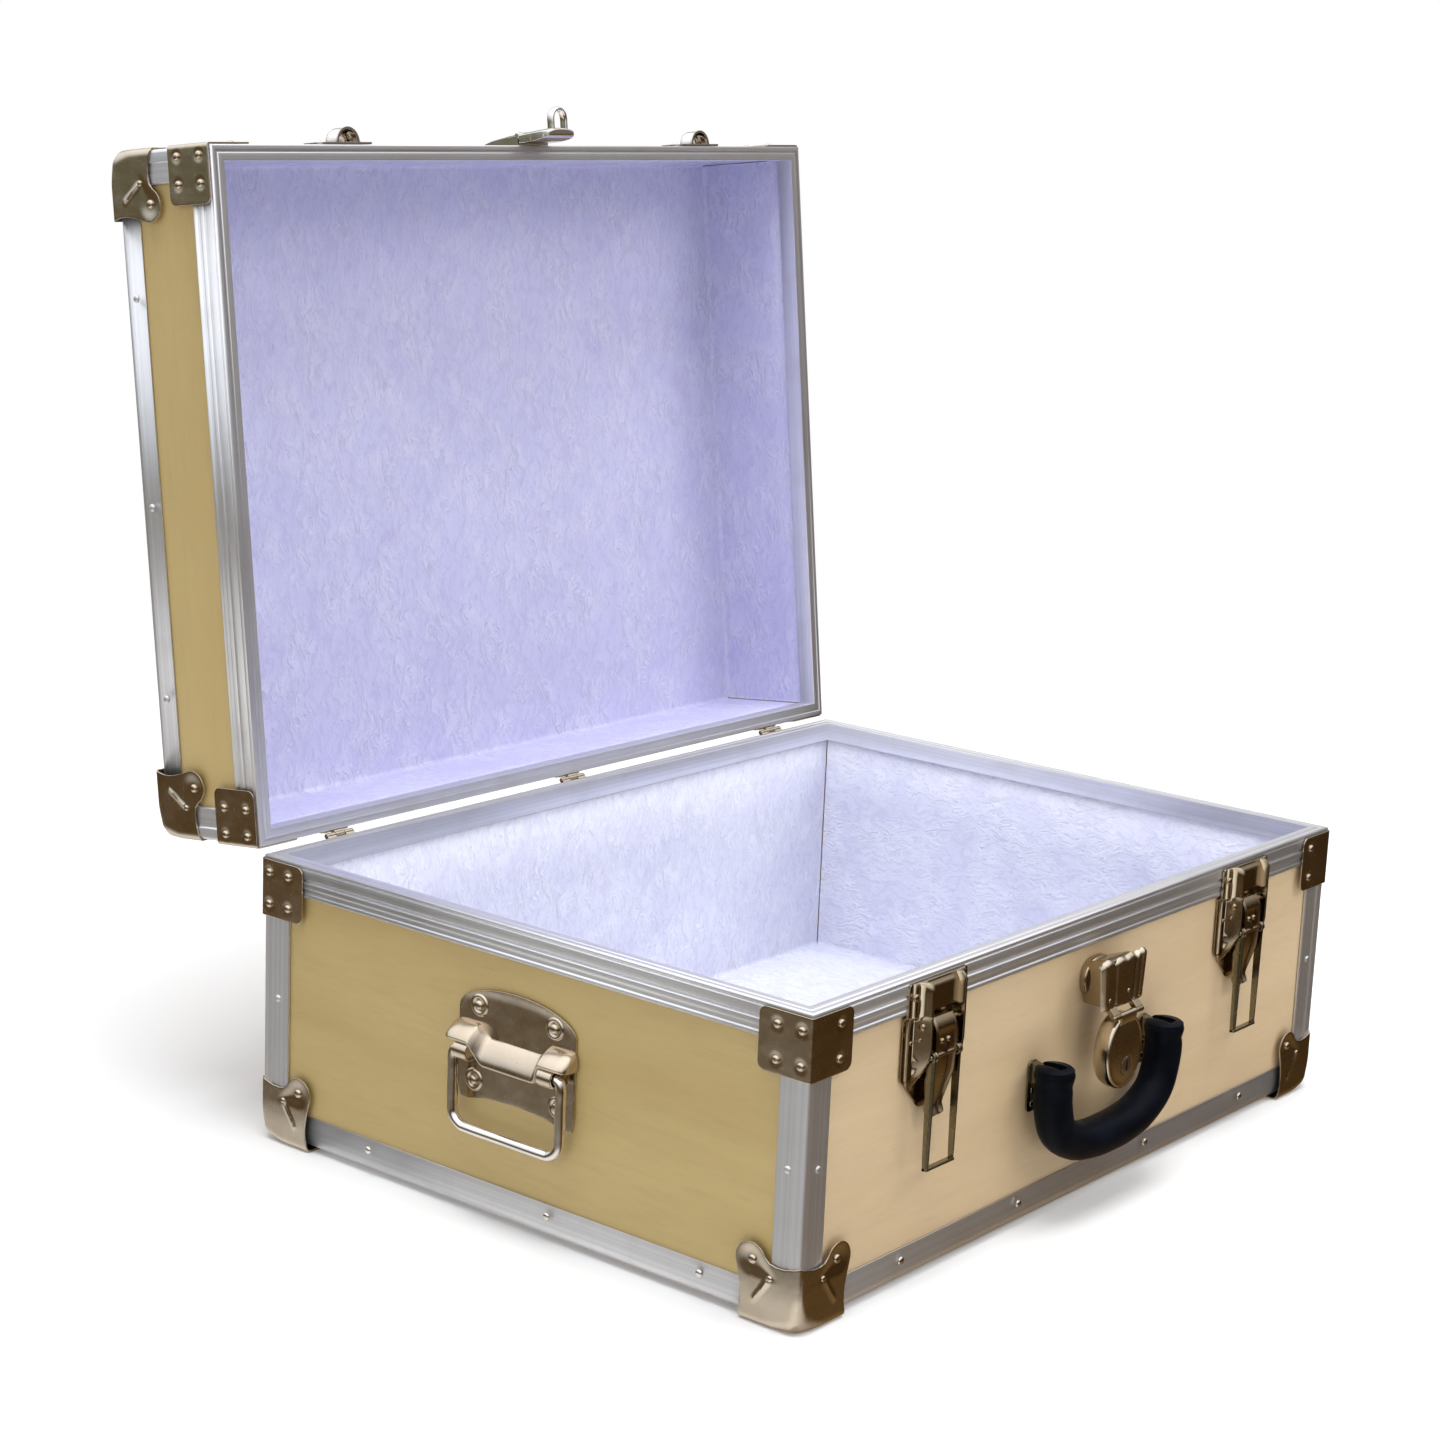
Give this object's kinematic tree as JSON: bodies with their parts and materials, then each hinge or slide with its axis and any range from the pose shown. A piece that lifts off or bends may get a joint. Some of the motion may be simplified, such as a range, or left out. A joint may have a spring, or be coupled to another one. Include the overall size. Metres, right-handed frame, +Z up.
{
  "type": "hinged trunk case",
  "caption": "Rectangular plywood trunk case with aluminium edging, pressed metal corners, a hinged lid, draw latches, a centre lock and swinging handles.",
  "frame": {"origin": "on the ground under the middle of the base", "axes": "+Z up; the front with the latches, lock and carry handle faces -Y; the lid hinges along X at the back, +Y"},
  "size_m": [0.6228, 0.6258, 0.667],
  "materials": {
    "plywood": "pale birch-faced plywood, satin lacquer outside, lilac embossed paper glued inside",
    "aluminium": "satin anodised extrusion",
    "nickel": "nickel-plated pressed steel, lightly worn",
    "bright_nickel": "bright nickel-plated steel",
    "grip": "black moulded grip with a soft sheen",
    "plug_steel": "turned steel"
  },
  "bodies": {
    "base": {"base_floor": "plywood", "base_wall_left": "plywood", "base_wall_right": "plywood", "base_wall_front": "plywood", "base_wall_back": "plywood", "base_rim": "aluminium", "base_edging": "aluminium", "base_front_left_corner": "nickel", "base_front_left_bracket": "nickel", "base_front_left_post": "aluminium", "base_front_right_corner": "nickel", "base_front_right_bracket": "nickel", "base_front_right_post": "aluminium", "base_back_right_corner": "nickel", "base_back_right_bracket": "nickel", "base_back_right_post": "aluminium", "base_back_left_corner": "nickel", "base_back_left_bracket": "nickel", "base_back_left_post": "aluminium", "latch_plate_left": "nickel", "latch_plate_right": "nickel", "lock_case": "nickel", "grip_mount_left": "nickel", "grip_mount_right": "nickel", "chest_plate_left": "nickel", "chest_plate_right": "nickel", "hinge_base_leaf_left": "nickel", "hinge_base_leaf_middle": "nickel", "hinge_base_leaf_right": "nickel"},
    "lid": {"lid_top": "plywood", "lid_wall_left": "plywood", "lid_wall_right": "plywood", "lid_wall_front": "plywood", "lid_wall_back": "plywood", "lid_rim": "aluminium", "lid_edging": "aluminium", "lid_front_left_corner": "nickel", "lid_front_left_bracket": "nickel", "lid_front_right_corner": "nickel", "lid_front_right_bracket": "nickel", "lid_back_right_corner": "nickel", "lid_back_right_bracket": "nickel", "lid_back_left_corner": "nickel", "lid_back_left_bracket": "nickel", "latch_keeper_left": "bright_nickel", "latch_keeper_right": "bright_nickel", "hasp_leaf": "bright_nickel", "hinge_lid_leaf_left": "nickel", "hinge_lid_leaf_middle": "nickel", "hinge_lid_leaf_right": "nickel"},
    "latch_lever_left": {"latch_lever_left": "bright_nickel"},
    "latch_bail_left": {"latch_bail_left": "nickel"},
    "latch_lever_right": {"latch_lever_right": "bright_nickel"},
    "latch_bail_right": {"latch_bail_right": "nickel"},
    "lock_drum": {"lock_drum": "bright_nickel"},
    "lock_plug": {"lock_plug": "plug_steel"},
    "hasp_flap": {"hasp_flap": "bright_nickel"},
    "carry_grip": {"carry_grip": "grip"},
    "chest_bail_left": {"chest_bail_left": "bright_nickel"},
    "chest_bail_right": {"chest_bail_right": "bright_nickel"}
  },
  "joints": [
    {"name": "lid_hinge", "type": "hinge", "parent": "base", "child": "lid", "pos_m": [0, 0.2261, 0.19327], "axis": [-1, 0, 0], "range_deg": [-96.5, 0]},
    {"name": "latch_lever_left_hinge", "type": "hinge", "parent": "base", "child": "latch_lever_left", "pos_m": [-0.18, -0.2277, 0.163], "axis": [-1, 0, 0], "range_deg": [0, 110]},
    {"name": "latch_bail_left_hinge", "type": "hinge", "parent": "latch_lever_left", "child": "latch_bail_left", "pos_m": [-0.18, -0.2317, 0.144], "axis": [1, 0, 0], "range_deg": [-180, 0]},
    {"name": "latch_lever_right_hinge", "type": "hinge", "parent": "base", "child": "latch_lever_right", "pos_m": [0.18, -0.2277, 0.163], "axis": [-1, 0, 0], "range_deg": [0, 110]},
    {"name": "latch_bail_right_hinge", "type": "hinge", "parent": "latch_lever_right", "child": "latch_bail_right", "pos_m": [0.18, -0.2317, 0.144], "axis": [1, 0, 0], "range_deg": [-180, 0]},
    {"name": "lock_drum_hinge", "type": "hinge", "parent": "base", "child": "lock_drum", "pos_m": [0, -0.2469, 0.13], "axis": [-1, 0, 0], "range_deg": [0, 90]},
    {"name": "lock_plug_turn", "type": "hinge", "parent": "lock_drum", "child": "lock_plug", "pos_m": [0, -0.2468, 0.096], "axis": [0, -1, 0], "range_deg": [0, 90]},
    {"name": "hasp_flap_hinge", "type": "hinge", "parent": "lid", "child": "hasp_flap", "pos_m": [0, 0.28184, 0.64829], "axis": [-1, 0, 0], "range_deg": [0, 95]},
    {"name": "carry_grip_hinge", "type": "hinge", "parent": "base", "child": "carry_grip", "pos_m": [0, -0.2367, 0.101], "axis": [-1, 0, 0], "range_deg": [0, 90]},
    {"name": "chest_bail_left_hinge", "type": "hinge", "parent": "base", "child": "chest_bail_left", "pos_m": [-0.3052, 0, 0.109], "axis": [0, 1, 0], "range_deg": [0, 95]},
    {"name": "chest_bail_right_hinge", "type": "hinge", "parent": "base", "child": "chest_bail_right", "pos_m": [0.3052, 0, 0.109], "axis": [0, -1, 0], "range_deg": [0, 95]}
  ]
}
